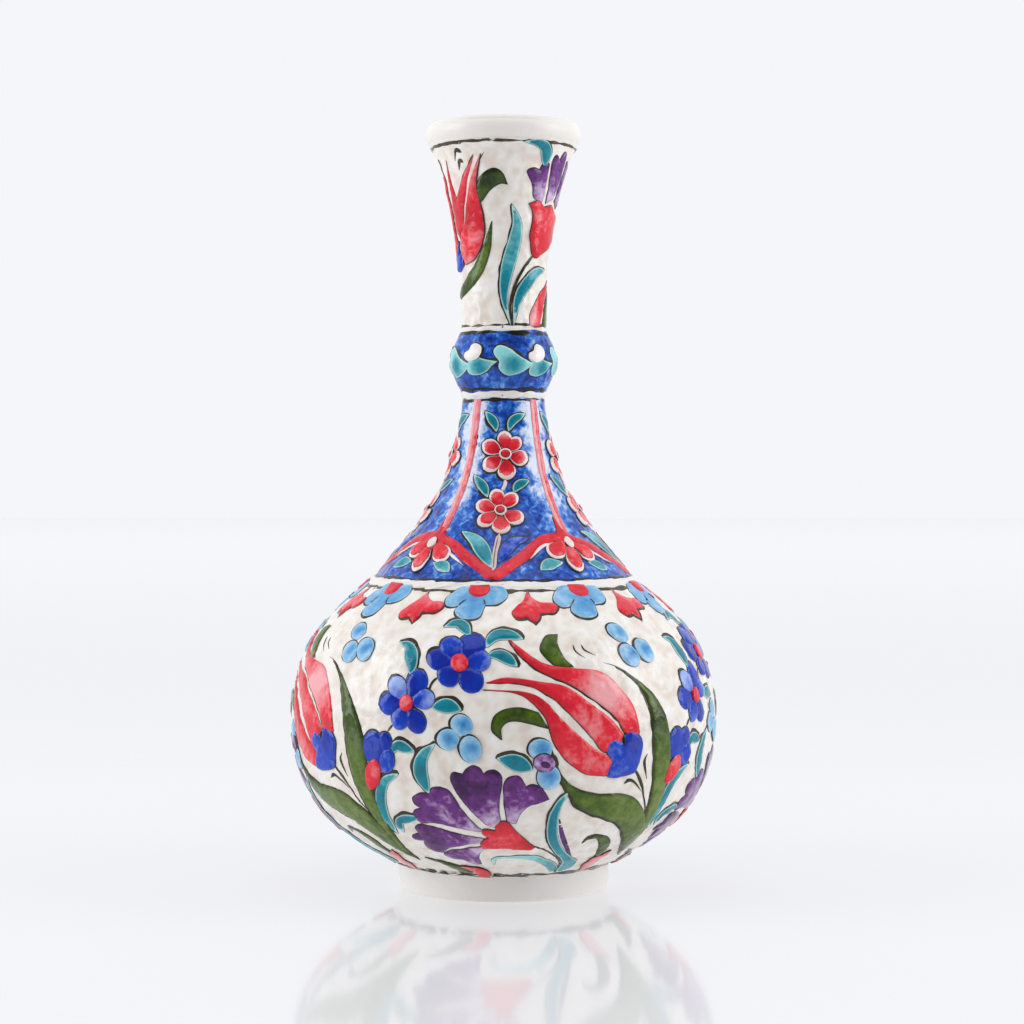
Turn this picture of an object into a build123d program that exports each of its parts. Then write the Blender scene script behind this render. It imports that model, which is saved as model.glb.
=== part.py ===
"""Painted pottery bottle vase: seven thrown sections, keyed together with clay slip under raised slip bands.

The frame has its origin at the centre of the foot's resting face, with +Z up the vase's axis. Millimetres.
Every piece is turned about Z, so each is drawn as a half section: X is the radius and Y is the height.
"""

import math
import os

from build123d import *

# Foot ring, which the vase stands on
FOOT_RADIUS = 34.9
FOOT_HEIGHT = 8.4
FOOT_WIDTH = 6.0
FOOT_TAPER = 0.6
FOOT_ROUNDING = 0.9
RECESS_HEIGHT = 4.2

# Belly, from the foot to the shoulder
EQUATOR_RADIUS = 69.3
EQUATOR_HEIGHT = 56.5
SHOULDER_RADIUS = 42.5
SHOULDER_HEIGHT = 100.8
BELLY_WALL = 5.0
FLOOR_THICKNESS = 5.2

# Trumpet neck, from the shoulder to the collar under the knop
NECK_RADIUS = 12.9
NECK_TOP = 161.1
NECK_WALL = 4.0

# Knop, the bulb half way up the neck
KNOP_RADIUS = 17.1
KNOP_HEIGHT = 172.2
KNOP_TOP = 182.4

# Flared upper neck and rolled lip
FLARE_BASE_RADIUS = 13.4
FLARE_RADIUS = 24.4
FLARE_TOP = 243.2
THROAT_LENGTH = 14.0
LIP_RADIUS = 25.6
LIP_WIDTH = 4.6
LIP_SHOULDER = 1.6
TOTAL_HEIGHT = 250.0

# Keyed joints: the height of each tongue, and the thickness of the layer of slip
TONGUE = 2.6
SLIP = 0.3

# Raised slip bands over the seams: how far they stand proud and are let in, and their widths
BAND_PROUD = 0.45
BAND_SEAT = 0.8
BAND_ROUNDING = 0.35
SHOULDER_BAND_WIDTH = 2.8
COLLAR_BAND_WIDTH = 2.2
KNOP_BAND_WIDTH = 1.4

# Fullness of the curves: each handle's reach, as a share of the curve's own width and height
LOWER_BELLY_START = (0.44, 0.18)
LOWER_BELLY_END = (0.0, 0.63)
UPPER_BELLY_START = (0.0, 0.61)
UPPER_BELLY_END = (0.29, 0.15)
TRUMPET_START = (0.58, 0.35)
TRUMPET_END = (0.12, 0.565)
KNOP_LOWER_START = (0.2, 0.15)
KNOP_LOWER_END = (0.0, 0.36)
KNOP_UPPER_START = (0.0, 0.36)
KNOP_UPPER_END = (0.3, 0.17)
FLARE_START = (0.0, 0.46)
FLARE_END = (0.66, 0.16)
MOUTH_START = (0.0, 0.43)
MOUTH_END = (0.6, 0.24)

# How far the cutting regions reach past the vase, and how finely the inner wall follows the outer
BEYOND = 20.0
INSET_STEPS = 5


def fair_curve(start, end, start_reach, end_reach):
    """A Bezier between two points, whose handles reach a share of the way across and up from each end."""
    across, up = end[0] - start[0], end[1] - start[1]
    first = (start[0] + start_reach[0] * across, start[1] + start_reach[1] * up)
    last = (end[0] - end_reach[0] * across, end[1] - end_reach[1] * up)
    return Bezier(start, first, last, end)


def inset(curve, wall, shares):
    """Points a wall's thickness inside a curve that goes up, at these shares of its length."""
    points = []
    for share in shares:
        place, along = curve @ share, curve % share
        points.append((place.X - along.Y * wall, place.Y + along.X * wall))
    return points


def keyed(tongue_radius, height):
    """A keyed joint: (radius of the tongue's side, height inside it, height of the seam outside it)."""
    return (tongue_radius, height + TONGUE, height)


def step_line(joint, shift):
    """The stepped line across a joint, moved by shift towards the section that sits on it."""
    radius, inner_height, outer_height = joint
    corner = radius + math.copysign(shift, shift * (inner_height - outer_height))
    edge = EQUATOR_RADIUS + BEYOND
    inner, outer = inner_height + shift, outer_height + shift
    return [(0, inner), (corner, inner), (corner, outer), (edge, outer)]


def beside(joint, shift, far_height):
    """The region between a joint's stepped line and a height above or below the whole vase."""
    with BuildSketch() as region:
        with BuildLine():
            far_edge = [(EQUATOR_RADIUS + BEYOND, far_height), (0, far_height)]
            Polyline(*step_line(joint, shift), *far_edge, close=True)
        make_face()
    return region.sketch


def above(joint, shift=SLIP / 2):
    return beside(joint, shift, TOTAL_HEIGHT + BEYOND)


def below(joint, shift=-SLIP / 2):
    return beside(joint, shift, -2 * BEYOND)


def bar(width, proud, rounding=0.0):
    """A band's section at the origin: let in on its -X side, and standing proud on its +X side."""
    with BuildSketch() as section:
        with Locations(((proud - BAND_SEAT) / 2, 0)):
            Rectangle(proud + BAND_SEAT, width)
        if rounding:
            fillet(section.vertices().group_by(Axis.X)[-1], rounding)
    return section.sketch


# Outer outline
foot_corner = (FOOT_RADIUS, FOOT_HEIGHT)
equator = (EQUATOR_RADIUS, EQUATOR_HEIGHT)
shoulder = (SHOULDER_RADIUS, SHOULDER_HEIGHT)
neck_end = (NECK_RADIUS, NECK_TOP)
knop_middle = (KNOP_RADIUS, KNOP_HEIGHT)
flare_base = (FLARE_BASE_RADIUS, KNOP_TOP)
flare_end = (FLARE_RADIUS, FLARE_TOP)
lower_belly_curve = fair_curve(foot_corner, equator, LOWER_BELLY_START, LOWER_BELLY_END)
upper_belly_curve = fair_curve(equator, shoulder, UPPER_BELLY_START, UPPER_BELLY_END)
trumpet_curve = fair_curve(shoulder, neck_end, TRUMPET_START, TRUMPET_END)
knop_lower_curve = fair_curve(neck_end, knop_middle, KNOP_LOWER_START, KNOP_LOWER_END)
knop_upper_curve = fair_curve(knop_middle, flare_base, KNOP_UPPER_START, KNOP_UPPER_END)
flare_curve = fair_curve(flare_base, flare_end, FLARE_START, FLARE_END)

# Rolled lip
lip_edge = TOTAL_HEIGHT - LIP_SHOULDER
lip_outer = (LIP_RADIUS - LIP_SHOULDER / 2, lip_edge)
lip_side = (LIP_RADIUS, (FLARE_TOP + lip_edge) / 2)
lip_crown = (LIP_RADIUS - LIP_WIDTH / 2, TOTAL_HEIGHT)
lip_inner = (LIP_RADIUS - LIP_WIDTH, lip_edge)

# Inner outline: floor, belly, throat and mouth
foot_inner = FOOT_RADIUS - FOOT_WIDTH
floor_height = RECESS_HEIGHT + FLOOR_THICKNESS
throat_radius = NECK_RADIUS - NECK_WALL
throat_end = (throat_radius, NECK_TOP)
throat_start = (throat_radius, KNOP_TOP + THROAT_LENGTH)
shares = [step / INSET_STEPS for step in range(1, INSET_STEPS)]
hollow_points = inset(lower_belly_curve, BELLY_WALL, shares)
hollow_points += inset(upper_belly_curve, BELLY_WALL, [0.0, *shares])
hollow_points += inset(trumpet_curve, NECK_WALL, shares)
floor_edge = (foot_inner - BELLY_WALL, floor_height)

# Half section of the whole wall, before it is divided into pieces
with BuildSketch() as wall_section:
    with BuildLine():
        foot_toe = (FOOT_RADIUS - FOOT_TAPER, 0)
        Polyline((0, RECESS_HEIGHT), (foot_inner, RECESS_HEIGHT), (foot_inner, 0), foot_toe, foot_corner)
        add([lower_belly_curve, upper_belly_curve, trumpet_curve])
        add([knop_lower_curve, knop_upper_curve, flare_curve])
        ThreePointArc(flare_end, lip_side, lip_outer)
        ThreePointArc(lip_outer, lip_crown, lip_inner)
        add(fair_curve(throat_start, lip_inner, MOUTH_START, MOUTH_END))
        Line(throat_start, throat_end)
        Spline(floor_edge, *hollow_points, throat_end, tangents=[(1, 0), trumpet_curve % 1])
        Polyline(floor_edge, (0, floor_height), (0, RECESS_HEIGHT))
    make_face()

# Joints, named after the section that sits on each. The foot ring stands round the base disc's edge.
base_joint = (foot_inner - SLIP / 2, -BEYOND, FOOT_HEIGHT)
equator_joint = keyed(EQUATOR_RADIUS - BELLY_WALL / 2, EQUATOR_HEIGHT)
slope = upper_belly_curve % 1
shoulder_joint = keyed(SHOULDER_RADIUS - BELLY_WALL / slope.Y / 2, SHOULDER_HEIGHT)
collar_joint = keyed((throat_radius + NECK_RADIUS - BAND_SEAT) / 2, NECK_TOP)
knop_joint = keyed((throat_radius + FLARE_BASE_RADIUS - BAND_SEAT) / 2, KNOP_TOP)
lip_joint = keyed((lip_inner[0] + FLARE_RADIUS - TONGUE) / 2, FLARE_TOP)

# Bands: each one's name, place on the outer wall, width and lean from upright
shoulder_lean = math.degrees(math.atan2(-slope.X, slope.Y))
BANDS = {
    "shoulder_band": (shoulder, SHOULDER_BAND_WIDTH, shoulder_lean),
    "collar_band": (neck_end, COLLAR_BAND_WIDTH, 0.0),
    "knop_band": (flare_base, KNOP_BAND_WIDTH, 0.0),
}


def half_section(lower_joint=None, upper_joint=None):
    """The part of the wall's section between two joints, less the seats of the bands."""
    with BuildSketch() as section:
        add(wall_section.sketch)
        if lower_joint:
            add(above(lower_joint), mode=Mode.INTERSECT)
        if upper_joint:
            add(below(upper_joint), mode=Mode.INTERSECT)
        for place, width, lean in BANDS.values():
            with Locations(Location(place, lean)):
                add(bar(width, BEYOND / 4), mode=Mode.SUBTRACT)
    return section.sketch


with BuildPart() as foot_ring:
    with BuildSketch(Plane.XZ):
        add(half_section(upper_joint=base_joint))
    revolve(axis=Axis.Z)
    fillet(foot_ring.edges().group_by(Axis.Z)[0], FOOT_ROUNDING)

with BuildPart() as lower_belly:
    with BuildSketch(Plane.XZ):
        add(half_section(base_joint, equator_joint))
    revolve(axis=Axis.Z)

with BuildPart() as upper_belly:
    with BuildSketch(Plane.XZ):
        add(half_section(equator_joint, shoulder_joint))
    revolve(axis=Axis.Z)

with BuildPart() as trumpet_neck:
    with BuildSketch(Plane.XZ):
        add(half_section(shoulder_joint, collar_joint))
    revolve(axis=Axis.Z)

with BuildPart() as neck_knop:
    with BuildSketch(Plane.XZ):
        add(half_section(collar_joint, knop_joint))
    revolve(axis=Axis.Z)

with BuildPart() as flared_neck:
    with BuildSketch(Plane.XZ):
        add(half_section(knop_joint, lip_joint))
    revolve(axis=Axis.Z)

with BuildPart() as mouth_lip:
    with BuildSketch(Plane.XZ):
        add(half_section(lower_joint=lip_joint))
    revolve(axis=Axis.Z)

sections = {
    "foot_ring": foot_ring,
    "lower_belly": lower_belly,
    "upper_belly": upper_belly,
    "trumpet_neck": trumpet_neck,
    "neck_knop": neck_knop,
    "flared_neck": flared_neck,
    "mouth_lip": mouth_lip,
}

# Slip layers, which fill each joint between its two sections
slips = {}
for joint_name, joint in {
    "base": base_joint,
    "equator": equator_joint,
    "shoulder": shoulder_joint,
    "collar": collar_joint,
    "knop": knop_joint,
    "lip": lip_joint,
}.items():
    with BuildPart() as slip:
        with BuildSketch(Plane.XZ):
            add(half_section())
            add(above(joint, -SLIP / 2), mode=Mode.INTERSECT)
            add(below(joint, SLIP / 2), mode=Mode.INTERSECT)
        revolve(axis=Axis.Z)
    slips[f"{joint_name}_joint_slip"] = slip

# Raised bands, seated over the seams
bands = {}
for band_name, (place, width, lean) in BANDS.items():
    with BuildPart() as band:
        with BuildSketch(Plane.XZ):
            with Locations(Location(place, lean)):
                add(bar(width, BAND_PROUD, BAND_ROUNDING))
        revolve(axis=Axis.Z)
    bands[band_name] = band

os.makedirs("parts", exist_ok=True)
for name, piece in {**sections, **slips, **bands}.items():
    piece.part.label = name
    export_step(piece.part, f"parts/{name}.step")
    print(name, len(piece.part.solids()), round(piece.part.volume, 1), piece.part.bounding_box().size)
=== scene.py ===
"""Looks of the painted relief pottery vase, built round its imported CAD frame.

Lengths are in millimetres until a mesh is made. A place on the outer wall is a turn round the axis, in
radians with 0 facing -Y, and a distance along the wall's profile, which starts at the foot.
A motif is drawn in flat millimetres on a Chart, which lays it on the wall. Its relief is real: a ground
coat of brushed lumps, puffy enamel patches with sunk skirts, and thin raised lines of dark pigment.
"""

import math

import bpy
import numpy as np
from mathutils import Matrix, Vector, noise
from mathutils.bvhtree import BVHTree
from mathutils.geometry import delaunay_2d_cdt


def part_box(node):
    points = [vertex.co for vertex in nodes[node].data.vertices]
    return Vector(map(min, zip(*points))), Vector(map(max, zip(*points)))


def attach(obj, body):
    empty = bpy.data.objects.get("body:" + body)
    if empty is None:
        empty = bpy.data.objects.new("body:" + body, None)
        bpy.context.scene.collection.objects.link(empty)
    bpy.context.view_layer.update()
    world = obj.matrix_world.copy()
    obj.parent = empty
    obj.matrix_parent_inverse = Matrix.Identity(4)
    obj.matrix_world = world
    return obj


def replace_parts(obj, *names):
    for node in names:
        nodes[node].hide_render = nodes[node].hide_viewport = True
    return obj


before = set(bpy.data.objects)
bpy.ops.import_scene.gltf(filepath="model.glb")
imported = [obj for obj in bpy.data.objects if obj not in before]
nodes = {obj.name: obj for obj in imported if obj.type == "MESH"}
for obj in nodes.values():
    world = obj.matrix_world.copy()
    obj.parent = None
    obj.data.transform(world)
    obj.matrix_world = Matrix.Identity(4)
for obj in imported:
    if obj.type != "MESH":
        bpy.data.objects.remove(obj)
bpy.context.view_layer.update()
MM = 0.001

# noise.noise_vector takes its offsets from the clock unless it is given a seed
noise.seed_set(1)

# ---------------------------------------------------------------- the wall

PROFILE_STEP = 0.5
BANDS = ("shoulder_band", "collar_band", "knop_band")
BAND_CLEARANCE = 0.3

# Brushed lumps of the ground: sizes across and heights, the coat's least and mean height over the wall,
# and how deep its lower side is let into the clay
DAB = 4.6
DAB_HEIGHT = 0.24
RIDGE = 3.4
RIDGE_HEIGHT = 0.34
GRAIN = 1.7
GRAIN_HEIGHT = 0.09
LEAST_COAT = 0.06
COAT_LIFT = 0.30
COAT_DEPTH = 0.6


def band_heights(name):
    """The lowest and highest point of a band, in mm."""
    low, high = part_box(name)
    return low.z / MM, high.z / MM


def outer_profile():
    """Heights and radii up the outside of the wall, from foot to lip, leaving out the bands' seats."""
    graph = bpy.context.evaluated_depsgraph_get()
    trees = [BVHTree.FromObject(node, graph) for name, node in nodes.items() if name not in BANDS]
    seats = [band_heights(name) for name in BANDS]
    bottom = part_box("foot_ring")[1].z / MM + BAND_CLEARANCE
    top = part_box("lip_joint_slip")[0].z / MM
    profile = []
    for height in np.arange(bottom, top, PROFILE_STEP):
        if any(low - BAND_CLEARANCE < height < high + BAND_CLEARANCE for low, high in seats):
            continue
        start = Vector((0, -1, height * MM))
        hits = [tree.ray_cast(start, Vector((0, 1, 0)))[0] for tree in trees]
        profile.append((height, max(-hit.y for hit in hits if hit) / MM))
    return np.array(profile).T


wall_heights, wall_radii = outer_profile()
steps = np.hypot(np.diff(wall_heights), np.diff(wall_radii))
wall_alongs = np.concatenate([[0], np.cumsum(steps)])
rise, run = np.gradient(wall_heights, wall_alongs), np.gradient(wall_radii, wall_alongs)
slope_lengths = np.hypot(rise, run)
normals_out, normals_up = rise / slope_lengths, -run / slope_lengths
WALL_END = wall_alongs[-1]


def along_at(height):
    """The distance along the wall's profile at this height."""
    return float(np.interp(height, wall_heights, wall_alongs))


def radius_at(along):
    return np.interp(along, wall_alongs, wall_radii)


def lump(place):
    """How far the brushed ground stands above or below its mean at a point of the wall."""
    dab = noise.noise(place / DAB)
    ridge = 0.5 - abs(noise.noise(place / RIDGE + Vector((7, 3, 5))))
    grain = noise.noise(place / GRAIN)
    height = DAB_HEIGHT * dab + RIDGE_HEIGHT * (ridge - 0.3) + GRAIN_HEIGHT * grain
    return max(height, LEAST_COAT - COAT_LIFT)


def on_wall(turn, along, lift, lump_share):
    """Points in mm lifted off the wall, riding on a share of the ground's lumps, and the lumps."""
    radius, height = radius_at(along), np.interp(along, wall_alongs, wall_heights)
    out, up = np.interp(along, wall_alongs, normals_out), np.interp(along, wall_alongs, normals_up)
    sine, cosine = np.sin(turn), -np.cos(turn)
    base = np.stack([radius * sine, radius * cosine, height], -1)
    lumps = np.array([lump(Vector(place)) for place in base])
    offset = lift + lumps * lump_share
    normal = np.stack([out * sine, out * cosine, up], -1)
    return base + normal * offset[:, None], lumps


# ------------------------------------------------------------- materials


def linear(red, green, blue):
    """A colour given as 0-255 screen values, as the shader's linear values."""
    values = [c / 255 for c in (red, green, blue)]
    return tuple(c / 12.92 if c <= 0.04045 else ((c + 0.055) / 1.055) ** 2.4 for c in values) + (1.0,)


class Shader:
    """A material's node tree, with short ways to add the nodes that these glazes need."""

    def __init__(self, name, roughness, bump):
        self.material = bpy.data.materials.new(name)
        self.material.use_nodes = True
        self.tree = self.material.node_tree
        self.surface = self.tree.nodes["Principled BSDF"]
        self.surface.inputs["Roughness"].default_value = roughness
        self.surface.inputs["IOR"].default_value = 1.5
        self.surface.inputs["Specular IOR Level"].default_value = 0.36
        self.place = self.node("ShaderNodeTexCoord").outputs["Object"]
        ripple = self.node("ShaderNodeBump", Strength=bump, Distance=0.0004)
        self.link(self.noise(420, 2), ripple.inputs["Height"])
        self.link(ripple.outputs["Normal"], self.surface.inputs["Normal"])

    def node(self, kind, **inputs):
        node = self.tree.nodes.new(kind)
        for name, value in inputs.items():
            node.inputs[name.replace("_", " ")].default_value = value
        return node

    def link(self, source, target):
        self.tree.links.new(source, target)

    def noise(self, scale, detail, distortion=0.0):
        node = self.node("ShaderNodeTexNoise", Scale=scale, Detail=detail, Distortion=distortion)
        self.link(self.place, node.inputs["Vector"])
        return node.outputs["Fac"]

    def attribute(self, name):
        node = self.node("ShaderNodeAttribute")
        node.attribute_name = name
        return node.outputs["Fac"]

    def math(self, operation, first, second, clamp=False):
        node = self.node("ShaderNodeMath")
        node.operation = operation
        node.use_clamp = clamp
        for socket, value in zip(node.inputs, (first, second)):
            if isinstance(value, (int, float)):
                socket.default_value = value
            else:
                self.link(value, socket)
        return node.outputs[0]

    def spread(self, value, low, high):
        """The part of a value from low to high, spread over 0 to 1."""
        return self.math("DIVIDE", self.math("SUBTRACT", value, low), high - low, clamp=True)

    def ramp(self, factor, *stops):
        """A colour that goes through these (position, colour) stops."""
        node = self.node("ShaderNodeValToRGB")
        elements = node.color_ramp.elements
        while len(elements) < len(stops):
            elements.new(0.5)
        for element, (position, colour) in zip(elements, stops):
            element.position = position
            element.color = colour
        self.link(factor, node.inputs["Fac"])
        return node.outputs["Color"]

    def mix(self, factor, first, second, blend="MIX"):
        node = self.tree.nodes.new("ShaderNodeMix")
        node.data_type = "RGBA"
        node.blend_type = blend
        factor_socket, first_socket, second_socket, result = 0, 6, 7, 2
        for index, value in ((factor_socket, factor), (first_socket, first), (second_socket, second)):
            if isinstance(value, (int, float, tuple)):
                node.inputs[index].default_value = value
            else:
                self.link(value, node.inputs[index])
        return node.outputs[result]

    def paint(self, colour):
        self.link(colour, self.surface.inputs["Base Color"])
        return self.material


def ivory_glaze(name):
    """Milky ivory glaze: darker and warmer in the hollows between the lumps, partly as glaze that pools
    there and partly as painted shade, with brush streaks and faint stains.
    """
    shader = Shader(name, 0.15, 0.6)
    # Darker in the hollows of the lumps: partly pooled glaze, partly painted shade
    pooled_and_shaded = shader.ramp(
        shader.attribute("tone"),
        (0.1, linear(232, 220, 208)),
        (0.5, linear(243, 237, 228)),
        (0.9, linear(250, 248, 244)),
    )
    stain = shader.spread(shader.noise(60, 4, 0.6), 0.58, 0.8)
    stained = shader.mix(shader.math("MULTIPLY", stain, 0.25), pooled_and_shaded, linear(228, 210, 196))
    streak = shader.spread(shader.noise(260, 3, 1.5), 0.52, 0.75)
    return shader.paint(shader.mix(shader.math("MULTIPLY", streak, 0.22), stained, linear(222, 214, 206)))


def blue_glaze(name):
    """Cobalt dabbed on a pale ground: deep between the dabs, mid blue on them, with pale flecks, and a
    painted highlight where pale is given.
    """
    shader = Shader(name, 0.14, 0.6)
    fine = shader.math("MULTIPLY", shader.noise(560, 4, 0.6), 0.85)
    dabs = shader.math("MULTIPLY", shader.noise(190, 4, 1.0), 0.65)
    height = shader.math("MULTIPLY", shader.attribute("tone"), 0.3)
    # The pale attribute is a painted highlight beside the neck's uprights
    pale = shader.attribute("pale")
    total = shader.math("ADD", shader.math("ADD", fine, dabs), shader.math("ADD", height, pale))
    factor = shader.spread(total, 0.63, 1.31)
    return shader.paint(shader.ramp(
        factor,
        (0.05, linear(0, 28, 108)),
        (0.32, linear(6, 66, 168)),
        (0.52, linear(34, 104, 204)),
        (0.72, linear(108, 158, 230)),
        (1.0, linear(222, 230, 248)),
    ))


def enamel(name, deep, middle, pale, mottle=0.35, rim=(0, 0, 0), rim_width=0.5, rim_strength=0.0):
    """Watery enamel: the tone drawn on each motif, mottled, and a rim shade where it pools or thins."""
    shader = Shader(name, 0.12, 0.35)
    wash = shader.math("MULTIPLY", shader.math("SUBTRACT", shader.noise(190, 5, 0.7), 0.5), mottle * 2.4)
    grain = shader.math("MULTIPLY", shader.math("SUBTRACT", shader.noise(700, 3), 0.5), mottle * 1.2)
    tone = shader.math("ADD", shader.attribute("tone"), shader.math("ADD", wash, grain), clamp=True)
    body = shader.ramp(tone, (0.05, linear(*deep)), (0.5, linear(*middle)), (0.95, linear(*pale)))
    edge = shader.spread(shader.attribute("rim"), rim_width, 0.05)
    return shader.paint(shader.mix(shader.math("MULTIPLY", edge, rim_strength), body, linear(*rim)))


def clay(name, colour, dark):
    """Fired clay under a thin satin glaze, with fine speckle."""
    shader = Shader(name, 0.3, 0.4)
    wash = shader.spread(shader.noise(45, 4), 0.35, 0.75)
    base = shader.mix(shader.math("MULTIPLY", wash, 0.5), linear(*colour), linear(*dark))
    speck = shader.spread(shader.noise(900, 2), 0.68, 0.8)
    return shader.paint(shader.mix(shader.math("MULTIPLY", speck, 0.4), base, linear(*dark)))


WHITE = ivory_glaze("ivory_glaze")
PLAIN_WHITE = clay("plain_ivory_glaze", (243, 239, 233), (236, 231, 224))
BLUE = blue_glaze("dabbed_blue_glaze")
FOOT_CLAY = clay("foot_clay", (248, 245, 240), (240, 235, 228))

# Each enamel's deep, middle and pale shades, its mottle, and its rim's shade, width and strength
SHADES = {
    "red": ((176, 10, 30), (234, 38, 56), (248, 172, 176), 0.32, (190, 20, 36), 0.6, 0.35),
    "green": ((24, 40, 2), (74, 102, 10), (132, 152, 72), 0.36, (24, 38, 4), 0.9, 0.7),
    "turquoise": ((0, 92, 112), (0, 142, 160), (150, 222, 222), 0.24, (200, 236, 232), 0.5, 0.8),
    "cobalt": ((0, 36, 156), (0, 62, 192), (160, 182, 242), 0.3, (70, 116, 216), 0.35, 0.45),
    "sky": ((20, 98, 180), (98, 170, 220), (190, 222, 242), 0.3, (180, 214, 238), 0.45, 0.5),
    "purple": ((56, 6, 72), (114, 46, 136), (218, 192, 224), 0.5, (78, 20, 96), 0.5, 0.35),
}
ENAMELS = {
    colour: (enamel(f"{colour}_enamel", *shades), f"{colour}_enamel") for colour, shades in SHADES.items()
}
PETAL_WHITE = enamel("petal_white", (214, 176, 176), (238, 222, 218), (248, 244, 240), 0.25)
ENAMELS["white"] = (PETAL_WHITE, "white_glaze")
LINE = enamel("line_pigment", (10, 10, 8), (60, 52, 34), (112, 98, 70), 0.40)

# --------------------------------------------------------------- outlines

OUTLINE_STEP = 0.45
STEEPEST = 1.3


def smooth(*points, closed=True, step=OUTLINE_STEP):
    """A smooth curve through (x, y) points. A point written (x, y, 0) is a sharp corner."""
    places = np.array([point[:2] for point in points], float)
    sharp = [len(point) == 3 for point in points]
    count = len(places)
    pieces = []
    for i in range(count if closed else count - 1):
        j = (i + 1) % count
        before, after = places[(i - 1) % count], places[(j + 1) % count]
        leave = (places[j] - before) / 2
        arrive = (after - places[i]) / 2
        if sharp[i] or (not closed and i == 0):
            leave = places[j] - places[i]
        if sharp[j] or (not closed and j == count - 1):
            arrive = places[j] - places[i]
        length = np.linalg.norm(places[j] - places[i])
        leave *= min(1, length / max(np.linalg.norm(leave), 1e-6) * STEEPEST)
        arrive *= min(1, length / max(np.linalg.norm(arrive), 1e-6) * STEEPEST)
        t = np.linspace(0, 1, max(2, math.ceil(length / step) + 1))[:-1, None]
        pieces.append(
            places[i] * (2 * t**3 - 3 * t**2 + 1) + leave * (t**3 - 2 * t**2 + t)
            + places[j] * (3 * t**2 - 2 * t**3) + arrive * (t**3 - t**2)
        )
    if not closed:
        pieces.append(places[-1:])
    return np.concatenate(pieces)


def sides(path, closed=False):
    """The unit vectors to the left of a path at each of its points."""
    if closed:
        ahead = np.roll(path, -1, 0) - np.roll(path, 1, 0)
    else:
        ahead = np.gradient(path, axis=0)
    ahead /= np.maximum(np.linalg.norm(ahead, axis=1), 1e-9)[:, None]
    return np.stack([-ahead[:, 1], ahead[:, 0]], -1)


def shares_along(path):
    """Each point's distance along a path, as a share of its length."""
    lengths = np.concatenate([[0], np.cumsum(np.linalg.norm(np.diff(path, axis=0), axis=1))])
    return lengths / lengths[-1]


def leaf(spine, width, fullest=0.5, roundness=0.8):
    """The outline of a leaf on a smooth spine: its width grows to a fullest share of the way, then ends."""
    path = smooth(*spine, closed=False)
    share = np.clip(shares_along(path), 0, 1) ** (math.log(0.5) / math.log(fullest))
    half = width / 2 * np.sin(math.pi * share) ** roundness
    left = sides(path) * half[:, None]
    return np.concatenate([path + left, (path - left)[-2:0:-1]])


def oval(centre, across, up, tilt=0):
    """The outline of an oval with these half sizes, turned by a tilt in degrees."""
    count = max(12, int(math.tau * max(across, up) / OUTLINE_STEP))
    angle = np.linspace(0, math.tau, count, endpoint=False)
    turned = math.radians(tilt)
    x, y = across * np.cos(angle), up * np.sin(angle)
    cosine, sine = math.cos(turned), math.sin(turned)
    return np.stack([centre[0] + x * cosine - y * sine, centre[1] + x * sine + y * cosine], -1)


def petal(centre, direction, length, width, start=0.12, end=1.0):
    """The outline of a rounded petal that leaves a blossom's centre in a direction, in degrees."""
    aim = np.array([math.cos(math.radians(direction)), math.sin(math.radians(direction))])
    spine = [tuple(np.array(centre) + aim * length * share) for share in (start, end)]
    return leaf(spine, width, fullest=0.6, roundness=0.55)


def glow(spot, reach, low, high):
    """A tone that is high at a spot and falls to low at about its reach."""
    return lambda points: low + (high - low) * np.exp(-(((points - np.array(spot)) / reach) ** 2).sum(-1))


def fade(start, end, first, last):
    """A tone that goes from first at one point to last at another."""
    way = np.array(end, float) - np.array(start, float)

    def tone(points):
        share = np.clip((points - np.array(start)) @ way / (way @ way), 0, 1)
        return first + (last - first) * share

    return tone


# ------------------------------------------------------ layers of relief

# A patch's height at its edge, the width of its rounded edge, how deep its skirt sinks, how far in from
# its edge it halves the lumps under it, and how much each level lifts it over its neighbours
PATCH_EDGE = 0.15
PATCH_ROUND = 1.3
SKIRT = -0.4
FLATTENING = 2
LEVEL = 0.14

# A line's height at its sides and middle, how far it reaches in under its patch, its raggedness, and the
# side of a patch where it is thick unless the patch says otherwise
LINE_EDGE = 0.07
LINE_CROWN = 0.12
LINE_INSIDE = 0.25
RAGGEDNESS = 0.7
THICK_SIDE = (-0.5, 0.86)

# Lengths over which the hand's drift, a line's raggedness, and a ring's width and height change
DRIFT_LENGTH = 22
RAGGED_LENGTH = 3
WIDTH_WAVE = 4
HEIGHT_WAVE = 14
DRIFT_REACH = 2

# How close a drawing may come to the ends of the wall
WALL_MARGIN = 0.2

# The spacing of points: how many across a patch, between which limits, and along strokes and rings
FILL_COUNT = 9
FINEST_FILL = 0.35
COARSEST_FILL = 0.85
ROW_SPACING = 0.87
STROKE_STEP = 0.6
RING_STEP = 0.7

INSIDE_ONLY = 1
SHARP_ANGLE = math.radians(50)


class Chart:
    """Lays flat drawings on the wall round a point, with a hand's small unevenness if it has a seed."""

    def __init__(self, degrees, along, stretch=1.0, seed=0, unevenness=0.7):
        self.turn = math.radians(degrees)
        self.along = along
        self.stretch = stretch
        self.seed = seed
        self.unevenness = unevenness

    def lay(self, points):
        """The turn and the distance along the wall of flat points."""
        x, y = points[:, 0], points[:, 1]
        if self.seed:
            places = [Vector((a / DRIFT_LENGTH, b / DRIFT_LENGTH, self.seed * 9)) for a, b in points]
            drift = np.array([tuple(noise.noise_vector(place)) for place in places])
            x = x + self.unevenness * DRIFT_REACH * drift[:, 0]
            y = y + self.unevenness * DRIFT_REACH * drift[:, 1]
        along = np.clip(self.along + y, WALL_MARGIN, WALL_END - WALL_MARGIN)
        return self.turn + self.stretch * x / radius_at(along), along


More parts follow.
